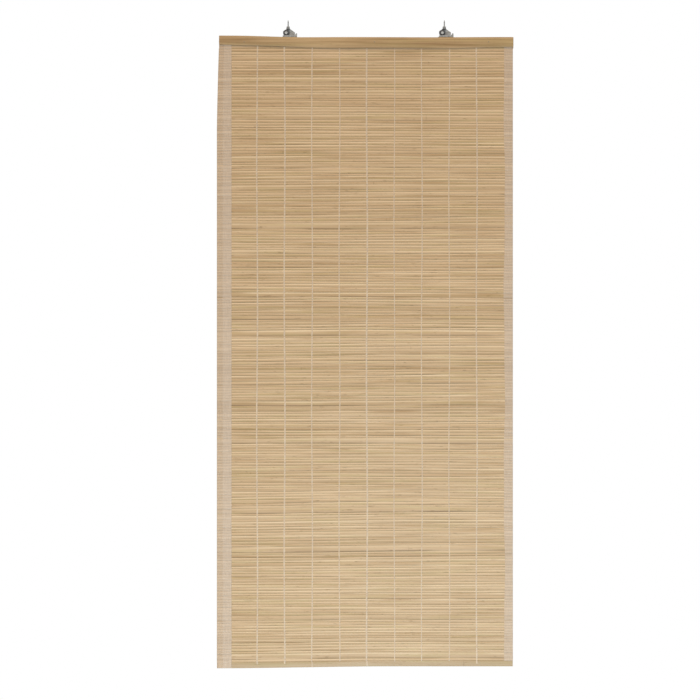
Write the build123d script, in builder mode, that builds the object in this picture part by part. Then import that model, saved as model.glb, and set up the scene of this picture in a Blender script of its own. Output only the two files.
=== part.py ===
"""Bamboo roll-up blind that hangs from two ceiling screws.

Frame: X runs along the head rail, the room side faces -Y and +Z is up.
The origin lies midway between the two screws, in the ceiling plane that their collars meet.
All lengths are in millimetres.
"""

import os
from math import atan2, degrees, isclose

from build123d import *

# Fits between the pieces
running_clearance = 0.05  # radial, round the pulley axle and the screw's journal
end_play = 0.15  # along the axis of a piece that turns
hole_clearance = 0.05  # round brads, screws and rivets, on each side
overrun = 1.0  # how far a cut runs past the face that it opens

# Blind as a whole
blind_drop = 1600.0  # top of the head rail to the bottom edge
mat_width = 750.0
mat_shift = -3.5  # the mat hangs a little to the left of the rail's middle

# Head rail and the batten that faces it
rail_shortfall = 4.0  # the rail and its batten are this much shorter than the mat is wide
rail_depth = 15.0
rail_height = 27.5
rail_edge = 1.2  # eased edges of the rail
batten_depth = 4.5
batten_edge = 0.9

# Brads that pin the batten through the mat to the rail
brad_width = 1.2  # square wire
brad_head_width = 2.6
brad_head_height = 0.5
brad_bite = 8.0
brad_point = 2.0
brad_place_shares = (-0.415, 0.028, 0.415)  # of the rail's length, from its middle
brad_slat = 1  # the brads pass through the second slat

# Slats, woven edge to edge into one wall
slat_thickness = 2.0
slat_pitch = 7.2
mat_inset = 1.5  # the mat's top edge lies this far below the rail's top
groove_neck = 0.7  # wall that is left where two slats meet
slat_width_shares = (
    1.00, 0.95, 1.05, 0.90, 1.10, 1.00, 0.80, 1.25, 0.95, 1.00, 0.85, 1.15,
    1.00, 0.90, 1.75, 0.80, 1.05, 0.95, 1.10, 0.85, 1.00, 0.75, 1.30, 0.90,
    1.00, 1.05, 0.80, 2.10, 0.85, 1.00, 0.95, 0.90, 1.20, 0.85, 1.00, 0.90,
    1.10,
)

# Warp threads, a strand in front and a strand behind at each place
thread_count = 9
thread_left_inset = 101.8  # from the mat's left edge to the first thread
thread_right_inset = 91.4
thread_width = 2.4
thread_thickness = 0.8
thread_reach_shares = (0.9, 0.4, 1.0, 0.7, 0.9, 0.3, 0.8, 0.5, 1.0)  # of the bottom batten's height

# Woven tapes folded round the side edges of the mat
tape_thickness = 0.5
left_tape_width = 37.0
left_tape_hem = 22.0  # inner band of the left tape, turned in and so double
right_tape_width = 21.5
tape_return = 18.0  # how far a tape reaches round the back

# Bottom batten, flush with the slats in front
bottom_height = 14.0
bottom_depth = 4.0
bottom_edge = 0.7

# Hanger bracket, bent and stamped from one sheet
hanger_spacing = 396.7
sheet = 1.2
bend_radius = 0.6  # inside of each bend
bend_relief = 0.4  # from the edge of the base to where a bend begins
base_left = 16.0
base_right = 23.0
base_depth = 10.0
base_corner = 2.5
bracket_height = 24.5
plate_foot = 8.0  # half width of the upright plate where it leaves the base
plate_ear_reach = 17.0
plate_ear_height = 15.0
plate_ear_drop = 6.0
plate_waist_height = 3.2
plate_neck = 0.8  # straight run of the plate below the tab
plate_shoulder = 13.0  # the plate reaches this far left, from the axle's level up
plate_shoulder_rise = 5.0
tab_width = 9.0
tab_reach = 5.0
tab_corner = 2.0
lip_left = 13.5  # the front lip runs from this far left of the screw to the lug
lip_height = 5.6
lug_height = 10.6
lug_tip = 3.6
lug_corner = 0.8

# Screws that hold the bracket down
screw_radius = 1.3
screw_length = 14.0
screw_head_across = 5.5
screw_head_height = 1.6
screw_left_place = 12.5
screw_right_place = 13.0

# Pulley wheel on its rivet
wheel_radius = 7.8
wheel_width = 7.0
wheel_offset = 5.0  # the axle stands this far to the left of the screw
wheel_floor_gap = 3.8
groove_depth = 2.2
rim_thickness = 1.5
axle_radius = 2.4
axle_head_radius = 3.4
axle_head_height = 1.2

# Ceiling screw, held in the bracket's tab so that it can swivel
journal_radius = 2.2
foot_across = 6.4  # six sided foot under the tab
foot_height = 1.5
collar_across = 7.0
collar_height = 4.0
shank_radius = 1.6
shank_length = 13.0
shank_point = 4.0
shank_tip_radius = 0.3
point_sides = 8  # facets ground on the point

# Levels and planes worked out from the sizes above
rail_top = -(collar_height + end_play + bracket_height)
rail_bottom = rail_top - rail_height
blind_bottom = rail_top - blind_drop
bottom_top = blind_bottom + bottom_height
mat_top = rail_top - mat_inset
mat_height = mat_top - bottom_top
mat_back = -rail_depth / 2
mat_front = mat_back - slat_thickness
mat_middle = (mat_front + mat_back) / 2
mat_left = mat_shift - mat_width / 2
mat_right = mat_shift + mat_width / 2
rail_length = mat_width - rail_shortfall
batten_front = mat_front - batten_depth
first_thread = mat_left + thread_left_inset
thread_pitch = (mat_width - thread_left_inset - thread_right_inset) / (thread_count - 1)

# Edges of the slats from the top down, with the shares repeated until the drop is full
share_total = mat_height / slat_pitch
slat_count = round(share_total * len(slat_width_shares) / sum(slat_width_shares))
slat_shares = [slat_width_shares[i % len(slat_width_shares)] for i in range(slat_count)]
slat_edges = [mat_top]
for share in slat_shares:
    slat_edges.append(slat_edges[-1] - mat_height * share / sum(slat_shares))
brad_level = (slat_edges[brad_slat] + slat_edges[brad_slat + 1]) / 2
brad_places = [share * rail_length for share in brad_place_shares]
brad_hole = brad_width + 2 * hole_clearance

# Places on the two brackets
hanger_places = {"left": -hanger_spacing / 2, "right": hanger_spacing / 2}
flange_outside = base_depth / 2 + bend_relief + bend_radius + sheet
flange_inside = flange_outside - sheet
base_top = rail_top + sheet
tab_bottom = rail_top + bracket_height - sheet
axle_level = base_top + wheel_floor_gap + wheel_radius
wheel_back = flange_inside - end_play
wheel_front = wheel_back - wheel_width

os.makedirs("parts", exist_ok=True)


# Head rail: the wooden bar behind the mat, drilled for the brads and for the brackets' screws
with BuildPart() as head_rail:
    with BuildSketch(Plane.YZ.offset(-rail_length / 2)):
        with Locations((0, rail_top - rail_height / 2)):
            Rectangle(rail_depth, rail_height)
    extrude(amount=rail_length)
    chamfer(head_rail.edges().filter_by(Axis.X), length=rail_edge)
    with BuildSketch(Plane.XZ.offset(-mat_back)):
        with Locations(*[(place, brad_level) for place in brad_places]):
            Rectangle(brad_hole, brad_hole)
    extrude(amount=-brad_bite, mode=Mode.SUBTRACT)
    with BuildSketch(Plane.XY.offset(rail_top)):
        for place in hanger_places.values():
            with Locations((place - screw_left_place, 0), (place + screw_right_place, 0)):
                Circle(screw_radius + hole_clearance)
    extrude(amount=-screw_length, mode=Mode.SUBTRACT)
head_rail.part.label = "head_rail"
export_step(head_rail.part, "parts/head_rail.step")


# Head batten: the bamboo strip in front that clamps the mat against the rail
with BuildPart() as head_batten:
    with BuildSketch(Plane.YZ.offset(-rail_length / 2)):
        with Locations(((batten_front + mat_front) / 2, rail_top - rail_height / 2)):
            Rectangle(batten_depth, rail_height)
    extrude(amount=rail_length)
    front_edges = head_batten.edges().filter_by(Axis.X).group_by(Axis.Y)[0]
    chamfer(front_edges, length=batten_edge)
    with BuildSketch(Plane.XZ.offset(-mat_front)):
        with Locations(*[(place, brad_level) for place in brad_places]):
            Rectangle(brad_hole, brad_hole)
    extrude(amount=batten_depth + overrun, mode=Mode.SUBTRACT)
head_batten.part.label = "head_batten"
export_step(head_batten.part, "parts/head_batten.step")


# Slat mat: uneven slats, crowned on both faces and parted by V grooves, trimmed behind the batten
with BuildPart() as slat_mat:
    neck_front = mat_middle - groove_neck / 2
    neck_back = mat_middle + groove_neck / 2
    front_outline = []
    back_outline = []
    for upper, lower in zip(slat_edges, slat_edges[1:]):
        crest = (upper + lower) / 2
        front_outline += [(neck_front, upper), (mat_front, crest)]
        back_outline += [(neck_back, upper), (mat_back, crest)]
    front_outline.append((neck_front, bottom_top))
    back_outline.append((neck_back, bottom_top))
    with BuildSketch(Plane.YZ.offset(mat_left)):
        with BuildLine():
            Polyline(*front_outline, *reversed(back_outline), close=True)
        make_face()
    extrude(amount=mat_width)
    with BuildSketch(Plane.XZ.offset(-mat_back - overrun)):
        beyond_rail = (rail_length + mat_width) / 2
        rail_middle = rail_top - rail_height / 2
        with Locations((-beyond_rail, rail_middle), (beyond_rail, rail_middle)):
            Rectangle(mat_width, rail_height)
        with Locations(*[(place, brad_level) for place in brad_places]):
            Rectangle(brad_hole, brad_hole)
    extrude(amount=slat_thickness + 2 * overrun, mode=Mode.SUBTRACT)
slat_mat.part.label = "slat_mat"
export_step(slat_mat.part, "parts/slat_mat.step")


# Brads: a flat head on the batten and a square shank through the mat into the rail, cut to a chisel point
with BuildPart() as head_batten_brads:
    brad_tip = mat_back + brad_bite
    with BuildSketch(Plane.XZ.offset(-batten_front)):
        with Locations(*[(place, brad_level) for place in brad_places]):
            Rectangle(brad_head_width, brad_head_width)
    extrude(amount=brad_head_height)
    for place in brad_places:
        with BuildSketch(Plane.YZ.offset(place)):
            with BuildLine():
                Polyline(
                    (batten_front, brad_level + brad_width / 2),
                    (brad_tip - brad_point, brad_level + brad_width / 2),
                    (brad_tip, brad_level),
                    (brad_tip - brad_point, brad_level - brad_width / 2),
                    (batten_front, brad_level - brad_width / 2),
                    close=True,
                )
            make_face()
        extrude(amount=brad_width / 2, both=True)
head_batten_brads.part.label = "head_batten_brads"
export_step(head_batten_brads.part, "parts/head_batten_brads.step")


# Warp threads: one strand lies on the front of the slats and one on their back
for number in range(thread_count):
    thread_place = first_thread + number * thread_pitch
    front_reach = rail_bottom - bottom_top + thread_reach_shares[number] * bottom_height
    with BuildPart() as warp_thread:
        with BuildSketch(Plane.XY.offset(rail_bottom)):
            with Locations((thread_place, mat_front - thread_thickness / 2)):
                Rectangle(thread_width, thread_thickness)
        extrude(amount=-front_reach)
        with BuildSketch(Plane.XY.offset(rail_bottom)):
            with Locations((thread_place, mat_back + thread_thickness / 2)):
                Rectangle(thread_width, thread_thickness)
        extrude(amount=bottom_top - rail_bottom)
    warp_thread.part.label = f"warp_thread_{number + 1}"
    export_step(warp_thread.part, f"parts/warp_thread_{number + 1}.step")


# Left edge tape: folded round the slat ends, doubled along its inner band, and carried down over the batten
with BuildPart() as left_edge_tape:
    tape_outside = mat_left - tape_thickness
    tape_inside = tape_outside + left_tape_width
    hem_edge = tape_inside - left_tape_hem
    tape_front = mat_front - tape_thickness
    hem_front = tape_front - tape_thickness
    tape_back = mat_back + tape_thickness
    with BuildSketch(Plane.XY.offset(rail_bottom)):
        with BuildLine():
            Polyline(
                (tape_inside, mat_front),
                (tape_inside, hem_front),
                (hem_edge, hem_front),
                (hem_edge, tape_front),
                (tape_outside, tape_front),
                (tape_outside, tape_back),
                (tape_outside + tape_return, tape_back),
                (tape_outside + tape_return, mat_back),
                (mat_left, mat_back),
                (mat_left, mat_front),
                close=True,
            )
        make_face()
    extrude(amount=bottom_top - rail_bottom)
    with BuildSketch(Plane.XY.offset(bottom_top)):
        with BuildLine():
            Polyline(
                (tape_inside, mat_front),
                (tape_inside, hem_front),
                (hem_edge, hem_front),
                (hem_edge, tape_front),
                (tape_outside, tape_front),
                (tape_outside, mat_front),
                close=True,
            )
        make_face()
    extrude(amount=-bottom_height)
left_edge_tape.part.label = "left_edge_tape"
export_step(left_edge_tape.part, "parts/left_edge_tape.step")


# Right edge tape: a narrower single tape that stops above the bottom batten
with BuildPart() as right_edge_tape:
    tape_outside = mat_right + tape_thickness
    tape_front = mat_front - tape_thickness
    tape_back = mat_back + tape_thickness
    with BuildSketch(Plane.XY.offset(rail_bottom)):
        with BuildLine():
            Polyline(
                (tape_outside - right_tape_width, mat_front),
                (tape_outside - right_tape_width, tape_front),
                (tape_outside, tape_front),
                (tape_outside, tape_back),
                (tape_outside - tape_return, tape_back),
                (tape_outside - tape_return, mat_back),
                (mat_right, mat_back),
                (mat_right, mat_front),
                close=True,
            )
        make_face()
    extrude(amount=bottom_top - rail_bottom)
right_edge_tape.part.label = "right_edge_tape"
export_step(right_edge_tape.part, "parts/right_edge_tape.step")


# Bottom batten: a wider, thicker strip that closes the mat and keeps it hanging straight
with BuildPart() as bottom_batten:
    with BuildSketch(Plane.YZ.offset(mat_left)):
        with Locations((mat_front + bottom_depth / 2, (bottom_top + blind_bottom) / 2)):
            Rectangle(bottom_depth, bottom_height)
    extrude(amount=mat_width)
    chamfer(bottom_batten.edges().filter_by(Axis.X), length=bottom_edge)
bottom_batten.part.label = "bottom_batten"
export_step(bottom_batten.part, "parts/bottom_batten.step")


def edges_along_bend(bent_sheet, depth, level):
    """The straight edges of a bent sheet that run along X at the given depth and level."""
    lengthwise = bent_sheet.edges().filter_by(Axis.X)
    at_depth = lengthwise.filter_by(lambda edge: isclose(edge.center().Y, depth, rel_tol=1e-6))
    return at_depth.filter_by(lambda edge: isclose(edge.center().Z, level, rel_tol=1e-6))


# The two hangers are alike and stand the same way round, so one loop makes both
for side, place in hanger_places.items():
    screw_places = (place - screw_left_place, place + screw_right_place)
    axle_place = place - wheel_offset

    # Hanger bracket: base, upright plate, tab, front lip and lug, all bent from one stamped sheet
    with BuildPart() as hanger_bracket:
        with BuildSketch(Plane.XY.offset(rail_top)) as base_outline:
            with Locations((place + (base_right - base_left) / 2, 0)):
                Rectangle(base_left + base_right, base_depth)
            chamfer(base_outline.vertices(), length=base_corner)
            with Locations((place, flange_outside / 2)):
                Rectangle(2 * plate_foot, flange_outside)
            with Locations((place + (base_right - lip_left) / 2, -flange_outside / 2)):
                Rectangle(base_right + lip_left, flange_outside)
            with Locations(*[(screw_place, 0) for screw_place in screw_places]):
                Circle(screw_radius + hole_clearance, mode=Mode.SUBTRACT)
        extrude(amount=sheet)

        with BuildSketch(Plane.XZ.offset(-flange_outside)):
            with BuildLine():
                Polyline(
                    (place - plate_foot, rail_top),
                    (place + plate_foot, rail_top),
                    (place + plate_foot, rail_top + plate_waist_height),
                    (place + plate_ear_reach, rail_top + plate_ear_height - plate_ear_drop),
                    (place + plate_ear_reach, rail_top + plate_ear_height),
                    (place + tab_width / 2, rail_top + bracket_height - plate_neck),
                    (place + tab_width / 2, rail_top + bracket_height),
                    (place - tab_width / 2, rail_top + bracket_height),
                    (place - tab_width / 2, rail_top + bracket_height - plate_neck),
                    (place - plate_shoulder, axle_level + plate_shoulder_rise),
                    (place - plate_shoulder, axle_level),
                    (place - plate_foot, rail_top + plate_waist_height),
                    close=True,
                )
            make_face()
            with Locations((axle_place, axle_level)):
                Circle(axle_radius + hole_clearance, mode=Mode.SUBTRACT)
        extrude(amount=sheet)

        with BuildSketch(Plane.XY.offset(tab_bottom)) as tab_outline:
            with Locations((place, (flange_outside - tab_reach) / 2)):
                Rectangle(tab_width, flange_outside + tab_reach)
            chamfer(tab_outline.vertices().group_by(Axis.Y)[0], length=tab_corner)
            with Locations((place, 0)):
                Circle(journal_radius + running_clearance, mode=Mode.SUBTRACT)
        extrude(amount=sheet)

        with BuildSketch(Plane.XZ.offset(flange_outside)) as lug_outline:
            lug_end = place + base_right
            lug_rise = lug_height - lip_height
            lip_end = lug_end - lug_tip - lug_rise
            with BuildLine():
                TangentArc(
                    (lip_end, rail_top + lip_height),
                    (lug_end - lug_tip, rail_top + lug_height),
                    tangent=(1, 0),
                )
                Polyline(
                    (lug_end - lug_tip, rail_top + lug_height),
                    (lug_end, rail_top + lug_height),
                    (lug_end, rail_top),
                    (place - lip_left, rail_top),
                    (place - lip_left, rail_top + lip_height),
                    (lip_end, rail_top + lip_height),
                )
            make_face()
            chamfer(lug_outline.vertices().group_by(Axis.Y)[-1], length=lug_corner)
        extrude(amount=-sheet)

        outside_bends = (
            edges_along_bend(hanger_bracket, flange_outside, rail_top)
            + edges_along_bend(hanger_bracket, -flange_outside, rail_top)
            + edges_along_bend(hanger_bracket, flange_outside, rail_top + bracket_height)
        )
        fillet(outside_bends, radius=bend_radius + sheet)
    hanger_bracket.part.label = f"{side}_hanger_bracket"
    export_step(hanger_bracket.part, f"parts/{side}_hanger_bracket.step")

    # Bracket screws: six sided heads on the base, blunt shanks in the rail
    with BuildPart() as bracket_screws:
        screw_tip = base_top - screw_length
        for screw_place in screw_places:
            with BuildSketch(Plane((screw_place, 0, 0), x_dir=(1, 0, 0), z_dir=(0, -1, 0))):
                with BuildLine():
                    Polyline(
                        (0, base_top),
                        (screw_radius, base_top),
                        (screw_radius, screw_tip),
                        (0, screw_tip),
                        close=True,
                    )
                make_face()
            revolve(axis=Axis((screw_place, 0, 0), (0, 0, 1)))
        with BuildSketch(Plane.XY.offset(base_top)):
            with Locations(*[(screw_place, 0) for screw_place in screw_places]):
                RegularPolygon(screw_head_across / 2, 6, major_radius=False)
        extrude(amount=screw_head_height)
    bracket_screws.part.label = f"{side}_bracket_screws"
    export_step(bracket_screws.part, f"parts/{side}_bracket_screws.step")

    # Pulley wheel: two rims and a groove between them for the lift cord
    with BuildPart() as pulley_wheel:
        bore_radius = axle_radius + running_clearance
        with BuildSketch(Plane((axle_place, 0, axle_level), x_dir=(1, 0, 0), z_dir=(0, 0, 1))):
            with BuildLine():
                Polyline(
                    (bore_radius, wheel_front),
                    (wheel_radius, wheel_front),
                    (wheel_radius, wheel_front + rim_thickness),
                    (wheel_radius - groove_depth, wheel_front + rim_thickness),
                    (wheel_radius - groove_depth, wheel_back - rim_thickness),
                    (wheel_radius, wheel_back - rim_thickness),
                    (wheel_radius, wheel_back),
                    (bore_radius, wheel_back),
                    close=True,
                )
            make_face()
        revolve(axis=Axis((axle_place, 0, axle_level), (0, 1, 0)))
    pulley_wheel.part.label = f"{side}_pulley_wheel"
    export_step(pulley_wheel.part, f"parts/{side}_pulley_wheel.step")

    # Pulley axle: a rivet with a flat head in front, closed flush with the back of the plate
    with BuildPart() as pulley_axle:
        head_back = wheel_front - end_play
        with BuildSketch(Plane((axle_place, 0, axle_level), x_dir=(1, 0, 0), z_dir=(0, 0, 1))):
            with BuildLine():
                Polyline(
                    (0, head_back - axle_head_height),
                    (axle_head_radius, head_back - axle_head_height),
                    (axle_head_radius, head_back),
                    (axle_radius, head_back),
                    (axle_radius, flange_outside),
                    (0, flange_outside),
                    close=True,
                )
            make_face()
        revolve(axis=Axis((axle_place, 0, axle_level), (0, 1, 0)))
    pulley_axle.part.label = f"{side}_pulley_axle"
    export_step(pulley_axle.part, f"parts/{side}_pulley_axle.step")

    # Hanger screw: a six sided foot under the tab, a collar above it, and a shank with a ground point
    with BuildPart() as hanger_screw:
        foot_top = tab_bottom - end_play
        with BuildSketch(Plane((place, 0, 0), x_dir=(1, 0, 0), z_dir=(0, -1, 0))):
            with BuildLine():
                Polyline(
                    (0, foot_top),
                    (journal_radius, foot_top),
                    (journal_radius, -collar_height),
                    (shank_radius, -collar_height),
                    (shank_radius, shank_length),
                    (0, shank_length),
                    close=True,
                )
            make_face()
        revolve(axis=Axis((place, 0, 0), (0, 0, 1)))
        with BuildSketch(Plane.XY.offset(shank_length)):
            with Locations((place, 0)):
                RegularPolygon(shank_radius, point_sides)
        extrude(amount=shank_point, taper=degrees(atan2(shank_radius - shank_tip_radius, shank_point)))
        with BuildSketch(Plane.XY.offset(-collar_height)):
            with Locations((place, 0)):
                RegularPolygon(collar_across / 2, 6, major_radius=False)
        extrude(amount=collar_height)
        with BuildSketch(Plane.XY.offset(foot_top - foot_height)):
            with Locations((place, 0)):
                RegularPolygon(foot_across / 2, 6, major_radius=False)
        extrude(amount=foot_height)
    hanger_screw.part.label = f"{side}_hanger_screw"
    export_step(hanger_screw.part, f"parts/{side}_hanger_screw.step")
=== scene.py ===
import math
import random

import bmesh
import bpy
import numpy as np
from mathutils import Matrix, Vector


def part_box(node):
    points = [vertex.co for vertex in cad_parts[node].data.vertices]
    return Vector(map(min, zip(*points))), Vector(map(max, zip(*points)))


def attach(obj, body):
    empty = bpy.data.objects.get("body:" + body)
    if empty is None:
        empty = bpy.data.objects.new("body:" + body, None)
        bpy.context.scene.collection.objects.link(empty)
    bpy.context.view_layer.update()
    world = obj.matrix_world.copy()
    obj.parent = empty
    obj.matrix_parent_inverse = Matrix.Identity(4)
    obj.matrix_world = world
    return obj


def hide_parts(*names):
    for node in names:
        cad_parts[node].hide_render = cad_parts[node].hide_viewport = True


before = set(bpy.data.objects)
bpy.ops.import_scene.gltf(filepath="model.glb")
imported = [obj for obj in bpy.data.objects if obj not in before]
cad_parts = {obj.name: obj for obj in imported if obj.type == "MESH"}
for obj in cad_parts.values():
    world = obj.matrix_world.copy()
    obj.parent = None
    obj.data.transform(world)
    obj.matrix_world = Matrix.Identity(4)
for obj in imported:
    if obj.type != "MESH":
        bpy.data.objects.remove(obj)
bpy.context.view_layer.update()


# Head rail. A planed softwood bar runs behind the top of the mat and carries the two hangers.
# It is plain sawn timber with a light sanding, drilled for the brads and the bracket screws.
RAIL_PALE = (0.60, 0.43, 0.25, 1.0)
RAIL_DEEP = (0.42, 0.27, 0.13, 1.0)

# The grain of every strip: how far each noise is drawn out, and between which of its values a mark comes in
FIBRE_STRETCH = (9.0, 500.0, 900.0)
FIBRE_CONTRAST = 0.9
STREAK_STRETCH = (4.2, 40.0, 170.0)
CLOUD_STRETCH = (7.0, 5.0, 11.0)
CLOUD_CONTRAST = 0.5
STALK_SHIFT_X = 17.3
STALK_SHIFT_Z = 5.9
JOINT_SPACING = 0.31
JOINT_SHIFT = 7.7
JOINT_WAVER = 0.012
JOINT_LINE = (0.0075, 0.0015)
JOINT_SWELL = (0.03, 0.0)
JOINT_PATCHES = (0.56, 0.70)
JOINT_BROWN = (0.20, 0.115, 0.045, 1.0)
JOINT_STRENGTH = 0.62
JOINT_RAISED = 0.6
JOINT_SUNK = -0.5
FLECK_STRETCH = (48.0, 60.0, 420.0)
FLECK_PATCHES = (0.67, 0.76)
FLECK_BROWN = (0.23, 0.13, 0.05, 1.0)
FLECK_STRENGTH = 0.60
GREEN_STRETCH = (5.0, 7.0, 95.0)
GREEN_PATCHES = (0.50, 0.66)
GREEN_TINT = (0.965, 1.0, 0.925, 1.0)
GRAIN_ROUGHNESS = 0.40
GRAIN_ROUGHNESS_SPREAD = 0.25
GRAIN_RELIEF = 0.0003


def add_node(tree, kind, values=None, **settings):
    """Adds one node to a tree, sets its fields, and gives its inputs plain values or links from sockets.
    Returns the node's output sockets."""
    node = tree.nodes.new(kind)
    for field, value in settings.items():
        setattr(node, field, value)
    for key, value in (values or {}).items():
        if isinstance(value, bpy.types.NodeSocket):
            tree.links.new(value, node.inputs[key])
        else:
            node.inputs[key].default_value = value
    return node.outputs


def math_node(tree, operation, *values):
    """A Math node on sockets or plain numbers; returns its output socket."""
    return add_node(tree, "ShaderNodeMath", dict(enumerate(values)), operation=operation)[0]


def times(tree, first, second):
    """The product of two sockets or numbers."""
    return math_node(tree, "MULTIPLY", first, second)


def times_plus(tree, first, second, added):
    """The product of two sockets or numbers, plus a third."""
    return math_node(tree, "MULTIPLY_ADD", first, second, added)


def split(tree, vector):
    """The three sockets of a vector's parts."""
    return add_node(tree, "ShaderNodeSeparateXYZ", {0: vector})


def combine(tree, x, y=0.0, z=0.0):
    """A vector from three sockets or numbers."""
    return add_node(tree, "ShaderNodeCombineXYZ", {0: x, 1: y, 2: z})[0]


def blend_colours(tree, factor, first, second, mode="MIX"):
    """Two colours, each a socket or a plain colour, mixed by a factor."""
    values = {0: factor, 6: first, 7: second}
    return add_node(tree, "ShaderNodeMix", values, data_type="RGBA", blend_type=mode)[2]


def stretched_noise(tree, position, stretch, detail, roughness=0.5):
    """Noise that is scaled by its own amount along each axis."""
    scaled = add_node(tree, "ShaderNodeVectorMath", {0: position, 1: stretch}, operation="MULTIPLY")[0]
    values = {"Vector": scaled, "Scale": 1.0, "Detail": detail, "Roughness": roughness}
    return add_node(tree, "ShaderNodeTexNoise", values)[0]


def ramp(tree, value, low, high):
    """Maps low..high to 0..1 with a smooth step."""
    values = {"Value": value, "From Min": low, "From Max": high}
    return add_node(tree, "ShaderNodeMapRange", values, interpolation_type="SMOOTHSTEP")["Result"]


def about_zero(tree, noise):
    """Noise of 0..1 moved to -0.5..0.5."""
    return math_node(tree, "SUBTRACT", noise, 0.5)


def object_place(tree):
    """The point's place on the piece."""
    return add_node(tree, "ShaderNodeTexCoord")["Object"]


def mesh_value(tree, key):
    """A number that the mesh carries under a name."""
    return add_node(tree, "ShaderNodeAttribute", attribute_name=key)["Fac"]


def new_node_tree(kind, name, inputs, outputs):
    """A node tree with named inputs and outputs; returns it with the sockets of both its ends."""
    tree = bpy.data.node_groups.new(name, kind)
    for way, sockets in (("INPUT", inputs), ("OUTPUT", outputs)):
        for label, sort in sockets.items():
            tree.interface.new_socket(label, in_out=way, socket_type="NodeSocket" + sort)
    return tree, tree.nodes.new("NodeGroupInput").outputs, tree.nodes.new("NodeGroupOutput").inputs


def new_material(name, plain_values):
    """A material whose shader has some plain values; returns it with its tree and the shader's inputs."""
    material = bpy.data.materials.new(name)
    material.use_nodes = True
    shader = material.node_tree.nodes["Principled BSDF"].inputs
    for socket, value in plain_values.items():
        shader[socket].default_value = value
    return material, material.node_tree, shader


def add_relief(tree, shader, height, strength, distance):
    """Bumps the surface by a height."""
    relief = add_node(tree, "ShaderNodeBump", {"Height": height, "Strength": strength, "Distance": distance})
    tree.links.new(relief["Normal"], shader["Normal"])


def make_strip_grain():
    """Grain of a strip of bamboo or wood that runs along X: fibres, streaks, joints and brown flecks."""
    amounts = dict.fromkeys(("Tone", "Stalk", "Joints", "Flecks", "Streaks"), "Float")
    tree, given, result = new_node_tree(
        "ShaderNodeTree",
        "strip_grain",
        {"Pale": "Color", "Deep": "Color", **amounts},
        {"Color": "Color", "Roughness": "Float", "Height": "Float"},
    )
    x, y, z = split(tree, object_place(tree))
    shifted_x = times_plus(tree, given["Stalk"], STALK_SHIFT_X, x)
    shifted_z = times_plus(tree, given["Stalk"], STALK_SHIFT_Z, z)
    along = combine(tree, shifted_x, y, shifted_z)
    fibres = stretched_noise(tree, along, FIBRE_STRETCH, 4.0, 0.6)
    streaks = stretched_noise(tree, along, STREAK_STRETCH, 2.0)
    clouds = stretched_noise(tree, along, CLOUD_STRETCH, 2.0)

    # Joints of the stalk: a thin dark line across the strip every third of a metre or so, where a cloud lies
    run = times_plus(tree, given["Stalk"], JOINT_SHIFT, math_node(tree, "DIVIDE", x, JOINT_SPACING))
    bent = times_plus(tree, fibres, JOINT_WAVER, run)
    gap = math_node(tree, "ABSOLUTE", about_zero(tree, math_node(tree, "FRACT", bent)))
    line = times(tree, ramp(tree, gap, *JOINT_LINE), ramp(tree, clouds, *JOINT_PATCHES))
    joint = times(tree, line, given["Joints"])
    swell = times(tree, ramp(tree, gap, *JOINT_SWELL), given["Joints"])

    dashes = stretched_noise(tree, along, FLECK_STRETCH, 1.0)
    fleck = times(tree, ramp(tree, dashes, *FLECK_PATCHES), given["Flecks"])

    shade = times_plus(tree, about_zero(tree, streaks), given["Streaks"], given["Tone"])
    shade = times_plus(tree, about_zero(tree, fibres), FIBRE_CONTRAST, shade)
    shade = times_plus(tree, about_zero(tree, clouds), CLOUD_CONTRAST, shade)
    shade = math_node(tree, "MINIMUM", math_node(tree, "MAXIMUM", shade, 0.0), 1.0)
    colour = blend_colours(tree, shade, given["Pale"], given["Deep"])
    colour = blend_colours(tree, times(tree, joint, JOINT_STRENGTH), colour, JOINT_BROWN)
    colour = blend_colours(tree, times(tree, fleck, FLECK_STRENGTH), colour, FLECK_BROWN)
    greener = ramp(tree, stretched_noise(tree, along, GREEN_STRETCH, 1.0), *GREEN_PATCHES)
    colour = blend_colours(tree, greener, colour, GREEN_TINT, "MULTIPLY")

    rough = times_plus(tree, fibres, GRAIN_ROUGHNESS_SPREAD, GRAIN_ROUGHNESS)
    height = times_plus(tree, joint, JOINT_SUNK, times_plus(tree, swell, JOINT_RAISED, fibres))
    tree.links.new(colour, result["Color"])
    tree.links.new(rough, result["Roughness"])
    tree.links.new(height, result["Height"])
    return tree


strip_grain = make_strip_grain()


def strip_material(name, pale, deep, tone, stalk, joints, flecks, streaks, bump, coat, tint=None):
    """Bamboo or wood with the strip's grain; tone and stalk are numbers, or names of mesh attributes.
    A tint is a function that changes the grain's colour further."""
    material, tree, shader = new_material(
        name, {"Coat Weight": coat, "Coat Roughness": 0.35, "Specular IOR Level": 0.35}
    )
    values = {"Pale": pale, "Deep": deep, "Joints": joints, "Flecks": flecks, "Streaks": streaks}
    for socket, value in (("Tone", tone), ("Stalk", stalk)):
        values[socket] = mesh_value(tree, value) if isinstance(value, str) else value
    grain = add_node(tree, "ShaderNodeGroup", values, node_tree=strip_grain)
    colour = tint(tree, grain["Color"]) if tint else grain["Color"]
    tree.links.new(colour, shader["Base Color"])
    tree.links.new(grain["Roughness"], shader["Roughness"])
    add_relief(tree, shader, grain["Height"], bump, GRAIN_RELIEF)
    return material


def dress(node_name, material):
    """Gives a CAD node that stays in view its finished material."""
    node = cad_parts[node_name]
    node.data.materials.clear()
    node.data.materials.append(material)


rail_wood = strip_material(
    "rail_wood", RAIL_PALE, RAIL_DEEP, tone=0.45, stalk=0.37,
    joints=0.0, flecks=0.5, streaks=1.4, bump=0.5, coat=0.0,
)
dress("head_rail", rail_wood)


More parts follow.
